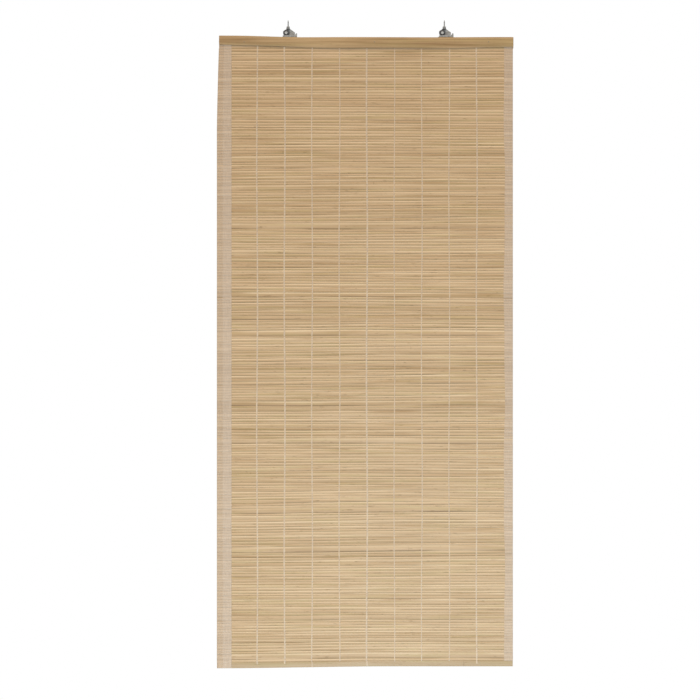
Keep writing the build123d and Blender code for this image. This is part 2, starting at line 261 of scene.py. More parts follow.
# Slat mat. Some two hundred split bamboo slats lie edge to edge across the blind, uneven in width and tone.
# They are planed thin and left bare, with their long edges rounded over and the joints of the stalk showing.
SLAT_PITCH = 0.0072
SLAT_THICKNESS = 0.0020
SLAT_CROWN = 0.80
SLAT_OVERLAP = 1.05
SLAT_STEPS = 13
SLAT_SIDES = 14
SLAT_TILT = math.radians(3.5)
SLAT_DEPTHS = (0.90, 1.04)
SLAT_END_RAG = 0.0010
SLAT_SEED = 41
SLAT_PALE = (0.728, 0.510, 0.297, 1.0)
SLAT_DEEP = (0.460, 0.294, 0.140, 1.0)
SLAT_TONES = (0.27, 0.63, 0.44)
DARK_SLAT_SHARE = 0.08
DARK_SLAT_TONES = (0.58, 0.78)

# Painted highlight on the upper edge of a slat and painted shade on its lower edge, standing in for light
# from above: how much of it, where across the slat and along it
PAINTED_HIGHLIGHT_COLOUR = (0.90, 0.700, 0.450, 1.0)
PAINTED_HIGHLIGHT_SHARES = (0.25, 1.0)
PAINTED_HIGHLIGHT_ACROSS = (0.24, 0.58)
PAINTED_HIGHLIGHT_STRETCH = (5.0, 1.0, 150.0)
PAINTED_HIGHLIGHT_PATCHES = (0.28, 0.52)
PAINTED_HIGHLIGHT_STRENGTH = 0.90
PAINTED_SHADE_COLOUR = (0.235, 0.138, 0.055, 1.0)
PAINTED_SHADE_SHARES = (0.35, 1.0)
PAINTED_SHADE_ACROSS = (-0.30, -0.80)
PAINTED_SHADE_STRETCH = (7.0, 9.0, 130.0)
PAINTED_SHADE_PATCHES = (0.68, 0.42)
PAINTED_SHADE_STRENGTH = 0.85

# How the mat hangs: the bows of its slats, the raised lower right corner and the drawn in upper left one
BOW_LONG = 0.0016
BOW_MIDDLE = 0.0007
BOW_SHORT = 0.0004
BOW_SINGLE = 0.00045
FREED_BELOW_RAIL = 9.0
HELD_BY_BATTEN = 12.0
CORNER_LIFT = 0.0050
CORNER_LIFT_SPAN = 0.6
DRAWN_IN = 0.0050
DRAWN_IN_HEIGHT = 0.21
DRAWN_IN_WIDTH = 0.037
DRAWN_IN_CURVE = 1.3

POINT_REACH = 1e-4
GROOVE_REACH = 0.0006

mat_low, mat_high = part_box("slat_mat")
mat_middle = (mat_low.y + mat_high.y) / 2
rail_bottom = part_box("head_rail")[0].z
mat_width = mat_high.x - mat_low.x
mat_drop = rail_bottom - mat_low.z

# The levels at which the mat's solid has its grooves, read at its right end
slat_edges = []
for co in sorted((v.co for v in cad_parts["slat_mat"].data.vertices), key=lambda co: -co.z):
    at_right_end = co.x > mat_high.x - POINT_REACH
    in_groove = abs(co.y - mat_middle) < GROOVE_REACH
    if at_right_end and in_groove and (not slat_edges or slat_edges[-1] - co.z > POINT_REACH):
        slat_edges.append(co.z)
slat_rows = list(zip(slat_edges, slat_edges[1:]))

slat_draw = random.Random(SLAT_SEED)
slat_values = []
for upper, lower in slat_rows:
    tone = slat_draw.triangular(*SLAT_TONES)
    if slat_draw.random() < DARK_SLAT_SHARE:
        tone = slat_draw.uniform(*DARK_SLAT_TONES)
    slat_values.append(
        {
            "tone": tone,
            "stalk": slat_draw.uniform(0.0, 1.0),
            # how much painted highlight and painted shade this slat's edges get
            "painted_edge_highlight": slat_draw.uniform(*PAINTED_HIGHLIGHT_SHARES),
            "painted_edge_shade": slat_draw.uniform(*PAINTED_SHADE_SHARES),
            "tilt": slat_draw.uniform(-SLAT_TILT, SLAT_TILT),
            "depth": slat_draw.uniform(*SLAT_DEPTHS),
            "rise": (upper - lower) / SLAT_PITCH * SLAT_OVERLAP,
            "span": mat_width - slat_draw.uniform(0.0, SLAT_END_RAG),
        }
    )


def paint_edge_highlight_and_shade(tree, colour):
    """Each slat's own numbers paint a highlight on its upper edge and shade on its lower edge in places,
    standing in for light from above.
    """
    across = mesh_value(tree, "edge")
    place = object_place(tree)
    highlight_patches = ramp(tree, stretched_noise(tree, place, PAINTED_HIGHLIGHT_STRETCH, 1.0), *PAINTED_HIGHLIGHT_PATCHES)
    shade_patches = ramp(tree, stretched_noise(tree, place, PAINTED_SHADE_STRETCH, 1.0), *PAINTED_SHADE_PATCHES)
    highlight_amount = times(tree, mesh_value(tree, "painted_edge_highlight"), highlight_patches)
    shade_amount = times(tree, mesh_value(tree, "painted_edge_shade"), shade_patches)
    upper_highlight = times(tree, ramp(tree, across, *PAINTED_HIGHLIGHT_ACROSS), highlight_amount)
    lower_shade = times(tree, ramp(tree, across, *PAINTED_SHADE_ACROSS), shade_amount)
    colour = blend_colours(tree, times(tree, upper_highlight, PAINTED_HIGHLIGHT_STRENGTH), colour, PAINTED_HIGHLIGHT_COLOUR)
    return blend_colours(tree, times(tree, lower_shade, PAINTED_SHADE_STRENGTH), colour, PAINTED_SHADE_COLOUR)


def points_mesh(name, places, attributes):
    """A mesh of loose points that carry named numbers, for a node tree to build on."""
    mesh = bpy.data.meshes.new(name)
    mesh.from_pydata(places, [], [])
    for key in attributes[0]:
        layer = mesh.attributes.new(key, "FLOAT", "POINT")
        layer.data.foreach_set("value", [values[key] for values in attributes])
    return mesh


def new_growth(name, inputs):
    """A geometry node tree with the given named inputs besides its geometry and its material."""
    ends = {"Geometry": "Geometry"}
    return new_node_tree("GeometryNodeTree", name, {**ends, **inputs, "Material": "Material"}, ends)


def end_growth(tree, grown, given, result):
    """Ends a geometry node tree: instances become real and get the material."""
    real = add_node(tree, "GeometryNodeRealizeInstances", {0: grown})[0]
    finished = add_node(tree, "GeometryNodeSetMaterial", {"Geometry": real, "Material": given["Material"]})[0]
    tree.links.new(finished, result["Geometry"])
    return tree


def put_in_scene(name, data):
    """Puts a mesh, a lamp or a camera into the scene as an object at the origin."""
    thing = bpy.data.objects.new(name, data)
    bpy.context.scene.collection.objects.link(thing)
    return thing


def grow(name, mesh, tree, values):
    """Runs a node tree on a mesh with its named inputs set, and returns the result as a plain mesh object."""
    source = put_in_scene(name + "_source", mesh)
    modifier = source.modifiers.new("grow", "NODES")
    modifier.node_group = tree
    for item in tree.interface.items_tree:
        if item.item_type == "SOCKET" and item.in_out == "INPUT" and item.name in values:
            modifier[item.identifier] = values[item.name]
    graph = bpy.context.evaluated_depsgraph_get()
    grown = bpy.data.meshes.new_from_object(
        source.evaluated_get(graph), preserve_all_data_layers=True, depsgraph=graph
    )
    source.modifiers.remove(modifier)
    bpy.data.objects.remove(source)
    grown.name = name
    return put_in_scene(name, grown)


def make_slat_tree():
    """Lays one rounded slat on each point, sized by the point's own numbers."""
    sizes = {"Pitch": "Float", "Thickness": "Float", "Crown": "Float", "Steps": "Int", "Sides": "Int"}
    tree, given, result = new_growth("slat_rows", sizes)
    ends = {"Start": (-0.5, 0.0, 0.0), "End": (0.5, 0.0, 0.0)}
    line = add_node(tree, "GeometryNodeCurvePrimitiveLine", ends)[0]
    stepped = add_node(tree, "GeometryNodeResampleCurve", {"Curve": line, "Count": given["Steps"]})[0]

    # The section: a circle pressed to the slat's thickness, with its front and back made fuller
    circle = {"Radius": 0.5, "Resolution": given["Sides"]}
    section = add_node(tree, "GeometryNodeCurvePrimitiveCircle", circle, mode="RADIUS")[0]
    x, y, _ = split(tree, add_node(tree, "GeometryNodeInputPosition")[0])
    full = math_node(tree, "POWER", math_node(tree, "ABSOLUTE", times(tree, x, 2.0)), given["Crown"])
    depth = times(tree, times(tree, full, math_node(tree, "SIGN", x)), 0.5)
    shaped = combine(tree, times(tree, depth, given["Thickness"]), times(tree, y, given["Pitch"]))
    rounded = add_node(tree, "GeometryNodeSetPosition", {"Geometry": section, "Position": shaped})[0]
    swept = {"Curve": stepped, "Profile Curve": rounded, "Fill Caps": True}
    slat = add_node(tree, "GeometryNodeCurveToMesh", swept)[0]

    # Each point of the slat keeps how far up or down the slat it lies, from -1 to 1
    level = split(tree, add_node(tree, "GeometryNodeInputPosition")[0])[2]
    edge = math_node(tree, "DIVIDE", level, times(tree, given["Pitch"], 0.5))
    kept = {"Geometry": slat, "Name": "edge", "Value": edge}
    marked = add_node(tree, "GeometryNodeStoreNamedAttribute", kept, data_type="FLOAT", domain="POINT")[0]

    own = {}
    for key in ("tilt", "span", "depth", "rise"):
        reader = add_node(tree, "GeometryNodeInputNamedAttribute", {"Name": key}, data_type="FLOAT")
        own[key] = reader["Attribute"]
    laid = {
        "Points": given["Geometry"],
        "Instance": marked,
        "Rotation": combine(tree, own["tilt"]),
        "Scale": combine(tree, own["span"], own["depth"], own["rise"]),
    }
    rows = add_node(tree, "GeometryNodeInstanceOnPoints", laid)[0]
    return end_growth(tree, rows, given, result)


def hang(points):
    """Where the hanging mat's points really lie. The waves of the bows have uneven lengths and phases,
    so that no two slats run alike; they die out at the rail and at the bottom batten."""
    x, z = points[:, 0].copy(), points[:, 2].copy()
    below = np.clip((rail_bottom - z) / mat_drop, 0.0, 1.0)
    across = (x - mat_low.x) / mat_width
    bows = (
        BOW_LONG * np.sin(4.1 * x + 15.0 * z + 0.4)
        + BOW_MIDDLE * np.sin(9.7 * x - 88.0 * z) * np.sin(3.1 * z + 1.1)
        + BOW_SHORT * np.sin(7.0 * x + 260.0 * z) * np.sin(8.3 * z - 0.7)
        + BOW_SINGLE * np.sin(9.0 * x + 571.0 * z + 2.0 * np.sin(2.5 * x + 41.0 * z))
    )
    loose = np.clip(below * FREED_BELOW_RAIL, 0.0, 1.0) * np.clip(HELD_BY_BATTEN * (1.0 - below), 0.0, 1.0)
    lifted = np.clip(across / CORNER_LIFT_SPAN, 0.0, 1.0)
    lifted = CORNER_LIFT * below**2 * lifted**2 * (3.0 - 2.0 * lifted)
    drawn = np.clip(1.0 - (rail_bottom - z) / DRAWN_IN_HEIGHT, 0.0, 1.0) ** DRAWN_IN_CURVE
    points[:, 0] += DRAWN_IN * drawn * np.clip(1.0 - (x - mat_low.x) / DRAWN_IN_WIDTH, 0.0, 1.0)
    points[:, 2] += lifted + bows * loose
    return points


def hang_mesh(piece):
    """Moves every point of a piece of the mat to where it hangs."""
    count = len(piece.data.vertices)
    flat = np.empty(count * 3)
    piece.data.vertices.foreach_get("co", flat)
    piece.data.vertices.foreach_set("co", hang(flat.reshape(count, 3)).ravel())
    piece.data.update()


def smooth_below(piece, degrees):
    """Smooth shading with creases kept where two faces meet at more than the given angle."""
    piece.data.polygons.foreach_set("use_smooth", [True] * len(piece.data.polygons))
    piece.data.set_sharp_from_angle(angle=math.radians(degrees))


# The slats' colour has a painted highlight on their upper edges and painted shade on their lower edges.
slat_bamboo = strip_material(
    "slat_bamboo", SLAT_PALE, SLAT_DEEP, tone="tone", stalk="stalk",
    joints=0.45, flecks=0.8, streaks=1.2, bump=0.6, coat=0.05, tint=paint_edge_highlight_and_shade,
)
mat_centre = (mat_low.x + mat_high.x) / 2
slat_places = [(mat_centre, mat_middle, (upper + lower) / 2) for upper, lower in slat_rows]
slats = grow(
    "slats",
    points_mesh("slat_places", slat_places, slat_values),
    make_slat_tree(),
    {
        "Pitch": SLAT_PITCH,
        "Thickness": SLAT_THICKNESS,
        "Crown": SLAT_CROWN,
        "Steps": SLAT_STEPS,
        "Sides": SLAT_SIDES,
        "Material": slat_bamboo,
    },
)
hang_mesh(slats)
smooth_below(slats, degrees=50)
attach(slats, "blind")
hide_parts("slat_mat")


# Warp threads. Nine pairs of cream cotton threads bind the slats; the two strands of a pair change sides
# at every groove, so that each slat is gripped between them. They start under the head batten, and some are
# cut off on the bottom batten, the others above it.
STRAND_WIDTH = 0.0031
STRAND_FULLNESS = (1.2, 1.25, 1.05, 0.95, 1.35, 0.85, 0.95, 0.9, 1.2)
STRAND_FLATNESS = 0.29
STRAND_SIDES = 8
STRAND_STANDOFF = 0.00138
STRAND_TWINE = 0.00025
STRAND_WANDER = 0.0010
STRAND_WANDER_TURNS = 9.0
STRAND_WANDER_SHIFT = 40.0
STRAND_JITTER = 0.00018
THREAD_COUNT = 9
THREAD_SEED = 7
THREAD_PALE = (0.80, 0.64, 0.46, 1.0)
THREAD_DEEP = (0.69, 0.53, 0.37, 1.0)
THREAD_SLUBS = (60.0, 200.0, 55.0)
THREAD_PLIES = (2200.0, 2200.0, 1500.0)
SLUB_RANGE = (0.30, 0.72)
PLY_CONTRAST = 0.35
THREAD_ROUGHNESS = 0.80
THREAD_ROUGHNESS_SPREAD = 0.15
COTTON_RELIEF = 0.0002
TUCKED_IN = 0.0095
SHORTEST_ROW = 0.001

# A strand over one slat: how far down the slat, and how far out of the mat's middle plane it lies there
STRAND_ARCH = ((0.0, 0.0), (0.08, 0.50), (0.22, 0.88), (0.5, 1.0), (0.78, 0.88), (0.92, 0.50))
# The last stitch, on the batten: how far down it, how far out, and how far aside. Its shares say how much of
# it each of the nine threads still has.
LAST_STITCH = ((0.15, 0.9, 0.0), (0.5, 1.0, -0.0002), (1.0, 0.5, 0.0003))
STITCH_SHARES = (0.35, 0.7, 1.0, 0.0, 1.0, 0.5, 0.0, 0.0, 0.5)


def make_strand_tree():
    """Turns a line of points into a soft thread that lies flattened against the slats."""
    tree, given, result = new_growth("warp_strand", {"Width": "Float", "Flatness": "Float", "Sides": "Int"})
    path = add_node(tree, "GeometryNodeMeshToCurve", {"Mesh": given["Geometry"]})[0]
    faced = {"Curve": path, "Normal": (1.0, 0.0, 0.0)}
    facing = add_node(tree, "GeometryNodeSetCurveNormal", faced, mode="FREE")[0]
    circle = {"Radius": 0.5, "Resolution": given["Sides"]}
    section = add_node(tree, "GeometryNodeCurvePrimitiveCircle", circle, mode="RADIUS")[0]
    flattened = combine(tree, given["Width"], times(tree, given["Width"], given["Flatness"]))
    pressed = add_node(tree, "GeometryNodeTransform", {"Geometry": section, "Scale": flattened})[0]
    swept = {"Curve": facing, "Profile Curve": pressed, "Fill Caps": True}
    return end_growth(tree, add_node(tree, "GeometryNodeCurveToMesh", swept)[0], given, result)


def cotton_material(name, pale, deep, fuzz):
    """Spun cotton: uneven in tone along its length, matt, with a soft sheen."""
    material, tree, shader = new_material(
        name, {"Sheen Weight": 0.25, "Sheen Roughness": 0.6, "Specular IOR Level": 0.2}
    )
    place = object_place(tree)
    slubs = stretched_noise(tree, place, THREAD_SLUBS, 3.0)
    plies = stretched_noise(tree, place, THREAD_PLIES, 2.0)
    shade = times_plus(tree, plies, PLY_CONTRAST, ramp(tree, slubs, *SLUB_RANGE))
    colour = blend_colours(tree, math_node(tree, "MINIMUM", shade, 1.0), pale, deep)
    tree.links.new(colour, shader["Base Color"])
    rough = times_plus(tree, plies, THREAD_ROUGHNESS_SPREAD, THREAD_ROUGHNESS)
    tree.links.new(rough, shader["Roughness"])
    add_relief(tree, shader, plies, fuzz, COTTON_RELIEF)
    return material


def wave(place, size, turns, shift):
    """How far a gentle wave strays at a place along it."""
    return size * math.sin(turns * place + shift)


def strand_path(place, top, stitch_end, first_side, draw):
    """Points of one strand: over a slat in front, through the groove, behind the next slat, and so on."""
    points = []
    side = first_side
    rows = [(min(upper, top), lower) for upper, lower in slat_rows if lower < top - SHORTEST_ROW]
    for upper, lower in rows:
        sway = wave(upper, STRAND_WANDER, STRAND_WANDER_TURNS, place * STRAND_WANDER_SHIFT)
        sway += draw.uniform(-STRAND_JITTER, STRAND_JITTER)
        for share, out in STRAND_ARCH:
            lean = STRAND_TWINE * side * (1.0 - 2.0 * share)
            level = upper - (upper - lower) * share
            proud = side * STRAND_STANDOFF * out
            if level > rail_bottom:
                proud = max(proud, 0.0)
            points.append((place + sway + lean, mat_middle - proud, level))
        side = -side
    end_x = place + STRAND_TWINE * side
    foot = rows[-1][1]
    points.append((end_x, mat_middle, foot))
    if side > 0 and stitch_end < foot:
        for share, out, aside in LAST_STITCH:
            level = foot - (foot - stitch_end) * share
            points.append((end_x + aside, mat_middle - STRAND_STANDOFF * out, level))
    return points


warp_cotton = cotton_material("warp_cotton", THREAD_PALE, THREAD_DEEP, fuzz=0.6)
strand_tree = make_strand_tree()
thread_draw = random.Random(THREAD_SEED)
for number in range(1, THREAD_COUNT + 1):
    thread_low, thread_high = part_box(f"warp_thread_{number}")
    thread_place = (thread_low.x + thread_high.x) / 2
    stitch_end = mat_low.z - STITCH_SHARES[number - 1] * (mat_low.z - thread_low.z)
    path_points, path_edges = [], []
    for first_side in (1, -1):
        strand = strand_path(thread_place, thread_high.z + TUCKED_IN, stitch_end, first_side, thread_draw)
        start = len(path_points)
        path_points += strand
        path_edges += [(start + i, start + i + 1) for i in range(len(strand) - 1)]
    path_mesh = bpy.data.meshes.new(f"warp_path_{number}")
    path_mesh.from_pydata(path_points, path_edges, [])
    thread = grow(
        f"twined_thread_{number}",
        path_mesh,
        strand_tree,
        {
            "Width": STRAND_WIDTH * STRAND_FULLNESS[number - 1],
            "Flatness": STRAND_FLATNESS / STRAND_FULLNESS[number - 1],
            "Sides": STRAND_SIDES,
            "Material": warp_cotton,
        },
    )
    hang_mesh(thread)
    smooth_below(thread, degrees=80)
    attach(thread, "blind")
    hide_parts(f"warp_thread_{number}")


# Edge tapes. A thin woven cotton tape is folded round the slat ends on each side and glued to the slats.
# The left one is wider, is turned in and doubled along its inner band, and runs down over the bottom batten.
# The slats press through the single cloth as faint ridges.
TAPE_CLOTH = 0.00030
TAPE_RETURN = 0.018
LEFT_TAPE_WIDTH = 0.037
LEFT_TAPE_HEM = 0.022
RIGHT_TAPE_WIDTH = 0.0215
RIGHT_TAPE_WANDER = 0.0013
TAPE_STRAY_WAVES = ((1.0, 13.0, 0.9), (0.5, 31.0, 0.0))
TAPE_TOP_CLEAR = 0.0004
TAPE_PALE = (0.885, 0.735, 0.60, 1.0)
TAPE_SLUB_SHADE = 0.80
TAPE_YARN = 0.0011
TAPE_SLUBS_ACROSS = (35.0, 620.0, 1.0)
TAPE_SLUBS_ALONG = (620.0, 35.0, 1.0)
TAPE_SLUB_RANGE = (0.7, 1.3)
TAPE_HOLE_RANGE = (0.2, -0.8)
SEEN_THROUGH_ONE = 0.56
SEEN_THROUGH_TWO_LESS = -0.17
SEEN_THROUGH_HOLES = 0.12

# The cloth over one slat: how far down the slat, and how deep it dips there, deeper where the slat's lower
# edge has painted shade
TAPE_DIP = 0.00055
TAPE_DIPS = ((0.0, 1.0), (0.14, 0.3), (0.5, 0.0), (0.86, 0.3))
TAPE_DIP_LEAST = 0.2
TAPE_DIP_BY_EDGE_SHADE = 1.5
# The slat colour seen through the cloth: its own tone, darkened over the groove as painted shade
TAPE_TONE_GAIN = 1.9
TAPE_TONE_SHIFT = -0.62
TAPE_PAINTED_GROOVE_SHADE = 1.1
TAPE_TOP_ROW = (0.5, 0.4)
TAPE_FOOT_ROW = (0.6, 0.4)
TAPE_BATTEN_ROW = (0.0, 0.5)
TAPE_BATTEN_SHARES = (0.25, 0.6, 0.92, 0.96)

# The folded section: shares of the hem, of the single band and of the return at which it has points
HEM_UNDER_SHARES = (0.0, 0.5, 0.94)
HEM_OVER_SHARES = (0.015, 0.045, 0.25, 0.5, 0.75, 0.97)
HEM_OVER_DIP = 0.9
HEM_FOLD = 0.0002
HEM_STEP = 0.0012
PLAIN_EDGE_SHARES = (1.0, 0.97, 0.75)
PLAIN_LAYERS = 0.45
BAND_SHARES = (0.66, 0.33, 0.06)
RETURN_SHARES = (0.08, 0.4, 0.7, 1.0)
RETURN_LAYERS = 0.3
ROUND_INSET = 0.0001
ROUND_DEPTH = 0.0005
ROUND_DIP = 0.3


def darkened(colour, share):
    """A colour times a share."""
    return tuple(share * part for part in colour[:3]) + (1.0,)


def tape_material():
    """Plain woven cotton tape: the slats' colour shows through one layer and less through two."""
    material, tree, shader = new_material(
        "tape_cotton",
        {"Sheen Weight": 0.3, "Sheen Roughness": 0.5, "Specular IOR Level": 0.2, "Roughness": 0.9},
    )
    flat_place = add_node(tree, "ShaderNodeUVMap", uv_map="cut")["UV"]
    across, along, _ = split(tree, flat_place)
    turns = 2.0 * math.pi / TAPE_YARN
    weft = math_node(tree, "SINE", times(tree, across, turns))
    warp = math_node(tree, "SINE", times(tree, along, turns))
    weave = times(tree, weft, warp)
    slubs_across = stretched_noise(tree, flat_place, TAPE_SLUBS_ACROSS, 2.0)
    slubs_along = stretched_noise(tree, flat_place, TAPE_SLUBS_ALONG, 2.0)
    uneven = math_node(tree, "ADD", slubs_across, slubs_along)
    slub_here = ramp(tree, uneven, *TAPE_SLUB_RANGE)
    cloth = blend_colours(tree, slub_here, TAPE_PALE, darkened(TAPE_PALE, TAPE_SLUB_SHADE))
    # The slats' colour under the cloth carries painted groove shade in its under numbers
    slat_colour = blend_colours(tree, mesh_value(tree, "under"), SLAT_PALE, SLAT_DEEP)
    seen_through = times_plus(tree, mesh_value(tree, "layers"), SEEN_THROUGH_TWO_LESS, SEEN_THROUGH_ONE)
    holes = times_plus(tree, ramp(tree, weave, *TAPE_HOLE_RANGE), SEEN_THROUGH_HOLES, seen_through)
    tree.links.new(blend_colours(tree, holes, cloth, slat_colour), shader["Base Color"])
    add_relief(tree, shader, times_plus(tree, uneven, 0.5, weave), 0.5, COTTON_RELIEF)
    return material


def tape_sheet(name, section, rows, back_top, back_bottom, wander):
    """A sheet swept down the mat's edge along a folded section: each entry is (run, x, y, dip, layers).
    Only its front runs on above and below the levels of the back, and its inner edge wanders a little."""
    mesh = bpy.data.meshes.new(name)
    vertices, faces, layers, under, cut = [], [], [], [], []
    inner, outer = section[0][1], section[-len(RETURN_SHARES) - 1][1]
    for z, groove, tone in rows:
        stray = wander * sum(wave(z, *values) for values in TAPE_STRAY_WAVES)
        for run, x, y, dip, doubled in section:
            loose = (x - outer) / (inner - outer) if y < mat_low.y else 0.0
            vertices.append((x + loose * stray, y + dip * groove * TAPE_DIP, z))
            layers.append(doubled)
            under.append(tone)
            cut.append((run, z))
    width = len(section)
    front_count = sum(1 for _, _, y, _, _ in section if y < mat_low.y)
    for row in range(len(rows) - 1):
        goes_round = rows[row][0] <= back_top and rows[row + 1][0] >= back_bottom
        columns = width - 1 if goes_round else front_count - 1
        for column in range(columns):
            corner = row * width + column
            faces.append((corner, corner + width, corner + width + 1, corner + 1))
    mesh.from_pydata(vertices, [], faces)
    mesh.uv_layers.new(name="cut")
    where = mesh.uv_layers["cut"].data
    for loop in mesh.loops:
        where[loop.index].uv = cut[loop.vertex_index]
    for key, values in (("layers", layers), ("under", under)):
        mesh.attributes.new(key, "FLOAT", "POINT").data.foreach_set("value", values)
    cleaned = bmesh.new()
    cleaned.from_mesh(mesh)
    bmesh.ops.delete(cleaned, geom=[v for v in cleaned.verts if not v.link_faces], context="VERTS")
    cleaned.to_mesh(mesh)
    cleaned.free()
    mesh.materials.append(tape_cotton)
    piece = put_in_scene(name, mesh)
    hang_mesh(piece)
    mesh.polygons.foreach_set("use_smooth", [True] * len(mesh.polygons))
    cloth = piece.modifiers.new("cloth", "SOLIDIFY")
    cloth.thickness = TAPE_CLOTH
    cloth.offset = 0.0
    return piece


def tape_rows(top, bottom, below):
    """Heights down a tape, with how deep the groove is there and the tone of the slat beneath, darkened over
    the groove as painted shade.
    """
    rows = [(top, *TAPE_TOP_ROW)]
    for (upper, lower), values in zip(slat_rows, slat_values):
        for share, dip in TAPE_DIPS:
            z = upper - share * (upper - lower)
            if bottom < z < top - TAPE_TOP_CLEAR:
                groove = dip * (TAPE_DIP_LEAST + TAPE_DIP_BY_EDGE_SHADE * values["painted_edge_shade"])
                # Painted shade: the slat colour under the cloth is darker where the cloth dips into a groove
                tone = TAPE_TONE_GAIN * values["tone"] + TAPE_TONE_SHIFT + TAPE_PAINTED_GROOVE_SHADE * groove
                rows.append((z, groove, tone))
    rows.append((bottom, *TAPE_FOOT_ROW))
    rows += [(z, *TAPE_BATTEN_ROW) for z in below]
    return rows


def tape_section(edge, width, hem, inward):
    """Section of a tape from its inner edge in front, round the slat ends, to its edge behind.
    Its path is listed as (distance in from the slat ends, y, dip, layers)."""
    front = mat_low.y - TAPE_CLOTH / 2
    back = mat_high.y + TAPE_CLOTH / 2
    outside = -TAPE_CLOTH / 2
    if hem:
        over = front - TAPE_CLOTH
        band, band_layers = width - hem, 0.0
        path = [(band + share * hem, front, 1.0, 1.0) for share in HEM_UNDER_SHARES]
        path.append((width - HEM_FOLD, (front + over) / 2, 1.0, 1.0))
        path += [(width - share * hem, over, HEM_OVER_DIP, 1.0) for share in HEM_OVER_SHARES]
        path.append((band - HEM_STEP, front, 1.0, 0.0))
    else:
        band, band_layers = width * PLAIN_EDGE_SHARES[-1], PLAIN_LAYERS
        path = [(width * share, front, 1.0, PLAIN_LAYERS) for share in PLAIN_EDGE_SHARES]
    path += [(band * share, front, 1.0, band_layers) for share in BAND_SHARES]
    path.append((outside + ROUND_INSET, front + ROUND_DEPTH, ROUND_DIP, 0.0))
    path.append((outside, mat_middle, 0.0, 0.0))
    path.append((outside + ROUND_INSET, back - ROUND_DEPTH, -ROUND_DIP, 0.0))
    path += [(TAPE_RETURN * share, back, -1.0, RETURN_LAYERS) for share in RETURN_SHARES]
    section, run = [], 0.0
    for index, (inset, y, dip, doubled) in enumerate(path):
        if index:
            run += math.hypot(inset - path[index - 1][0], y - path[index - 1][1])
        section.append((run, edge + inward * inset, y, dip, doubled))
    return section


tape_cotton = tape_material()
tape_top = rail_bottom + TUCKED_IN
bottom_low, bottom_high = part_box("bottom_batten")
bottom_height = bottom_high.z - bottom_low.z

on_batten = [bottom_high.z - share * bottom_height for share in TAPE_BATTEN_SHARES]
left_section = tape_section(mat_low.x, LEFT_TAPE_WIDTH, LEFT_TAPE_HEM, 1.0)
right_section = tape_section(mat_high.x, RIGHT_TAPE_WIDTH, 0.0, -1.0)
for side, section, below, foot, wander in (
    ("left", left_section, on_batten, bottom_low.z, 0.0),
    ("right", right_section, [], bottom_high.z, RIGHT_TAPE_WANDER),
):
    rows = tape_rows(tape_top, bottom_high.z, below)
    tape = tape_sheet(f"{side}_tape", section, rows, rail_bottom, bottom_high.z, wander)
    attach(tape, "blind")
    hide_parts(f"{side}_edge_tape")


# Bottom batten. A wider and thicker strip of bamboo closes the mat and keeps it hanging straight.
# It is planed on all sides, with its edges eased, and some of the last warp stitches lie across its face.
BOTTOM_STEPS = 24
BOTTOM_EASE = 0.0008
BOTTOM_CROWN = 0.0004
BOTTOM_PALE = (0.610, 0.450, 0.272, 1.0)
BOTTOM_DEEP = (0.458, 0.304, 0.150, 1.0)
STRIP_FACE_SHARES = (1.0, 0.86, 0.68, 0.5, 0.32, 0.14, 0.0)
STRIP_CORNER_ANGLE = 0.5


def skin(shape, rings, capped=True):
    """Faces between each ring of points and the next, and over both ends where it is capped."""
    for near, far in zip(rings, rings[1:]):
        for i in range(len(near)):
            j = (i + 1) % len(near)
            shape.faces.new((near[i], near[j], far[j], far[i]))
    if capped:
        shape.faces.new(rings[0][::-1])
        shape.faces.new(rings[-1])


def make_piece(shape, name, material):
    """Turns a finished shape into a piece with its material."""
    mesh = bpy.data.meshes.new(name)
    shape.to_mesh(mesh)
    shape.free()
    mesh.materials.append(material)
    return put_in_scene(name, mesh)


def planed_strip(name, low, high, steps, crown, ease, material):
    """A planed strip along X, cut into steps so that it can hang a little out of true.
    Its front is crowned from edge to edge, and its corners are eased."""
    shape = bmesh.new()
    rings = []
    section = [(high.y, low.z), (high.y, high.z)]
    for share in STRIP_FACE_SHARES:
        section.append((low.y + crown * (2.0 * share - 1.0) ** 2, low.z + share * (high.z - low.z)))
    for step in range(steps + 1):
        x = low.x + (high.x - low.x) * step / steps
        rings.append([shape.verts.new((x, y, z)) for y, z in section])
    skin(shape, rings)
    bmesh.ops.recalc_face_normals(shape, faces=shape.faces[:])
    corners = [edge for edge in shape.edges if edge.calc_face_angle(0.0) > STRIP_CORNER_ANGLE]
    bmesh.ops.bevel(shape, geom=corners, offset=ease, segments=3, profile=0.6, affect="EDGES")
    return make_piece(shape, name, material)


bottom_bamboo = strip_material(
    "bottom_bamboo", BOTTOM_PALE, BOTTOM_DEEP, tone=0.42, stalk=0.61,
    joints=0.5, flecks=0.6, streaks=1.4, bump=0.6, coat=0.08,
)
bottom_strip = planed_strip(
    "bottom_strip", bottom_low, bottom_high, BOTTOM_STEPS, BOTTOM_CROWN, BOTTOM_EASE, bottom_bamboo
)
hang_mesh(bottom_strip)
smooth_below(bottom_strip, degrees=40)
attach(bottom_strip, "blind")
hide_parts("bottom_batten")


